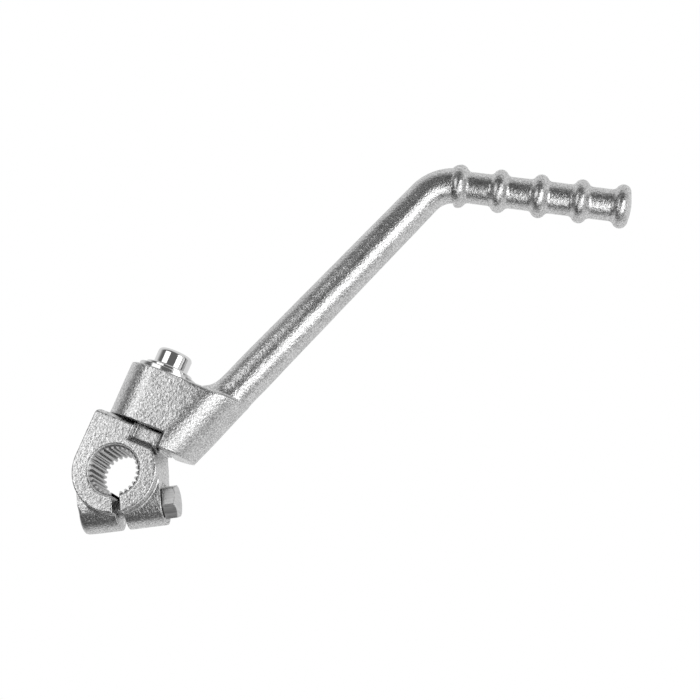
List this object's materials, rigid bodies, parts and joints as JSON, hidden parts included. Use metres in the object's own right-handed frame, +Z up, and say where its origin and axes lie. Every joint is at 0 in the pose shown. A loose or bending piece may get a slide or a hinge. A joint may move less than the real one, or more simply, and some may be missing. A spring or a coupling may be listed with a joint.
{
  "type": "kick start lever",
  "caption": "Folding kick start lever: splined clamp hub with pinch bolt, pivoting forged arm with a bent tapering bar and a ringed foot peg.",
  "frame": {"origin": "middle of the splined bore, on its axis and half way along its length", "axes": "+X along the reach of the lever, +Y along the splined bore away from the outer side, +Z up; the clamp slit points to -Z"},
  "size_m": [0.2298, 0.0292, 0.1302],
  "materials": {
    "cast_steel": "bright zinc plating over a fine sand-cast texture",
    "cast_steel_arm": "bright zinc plating over a fine sand-cast texture",
    "polished_bolt": "mirror polished",
    "bright_washer": "bright zinc, turned",
    "ball_steel": "polished ball steel",
    "spring_steel": "drawn wire",
    "zinc_bolt": "satin zinc plating"
  },
  "bodies": {
    "hub": {"clamp_hub": "cast_steel", "pivot_bolt": "polished_bolt", "pivot_washer": "bright_washer", "pinch_bolt": "zinc_bolt", "detent_spring": "spring_steel"},
    "lever": {"lever_arm": "cast_steel_arm"},
    "ball": {"detent_ball": "ball_steel"}
  },
  "joints": [
    {"name": "lever_fold", "type": "hinge", "parent": "hub", "child": "lever", "pos_m": [0.00992, 0.00195, 0.01828], "axis": [-0.4772, 0, -0.8788], "range_deg": [0, 90]},
    {"name": "ball_slide", "type": "slide", "parent": "hub", "child": "ball", "axis": [-0.4772, 0, -0.8788], "range_m": [0, 0.0009], "stiffness_N_per_m": 2000, "springref_m": -0.002, "deforming": ["detent_spring"]}
  ]
}
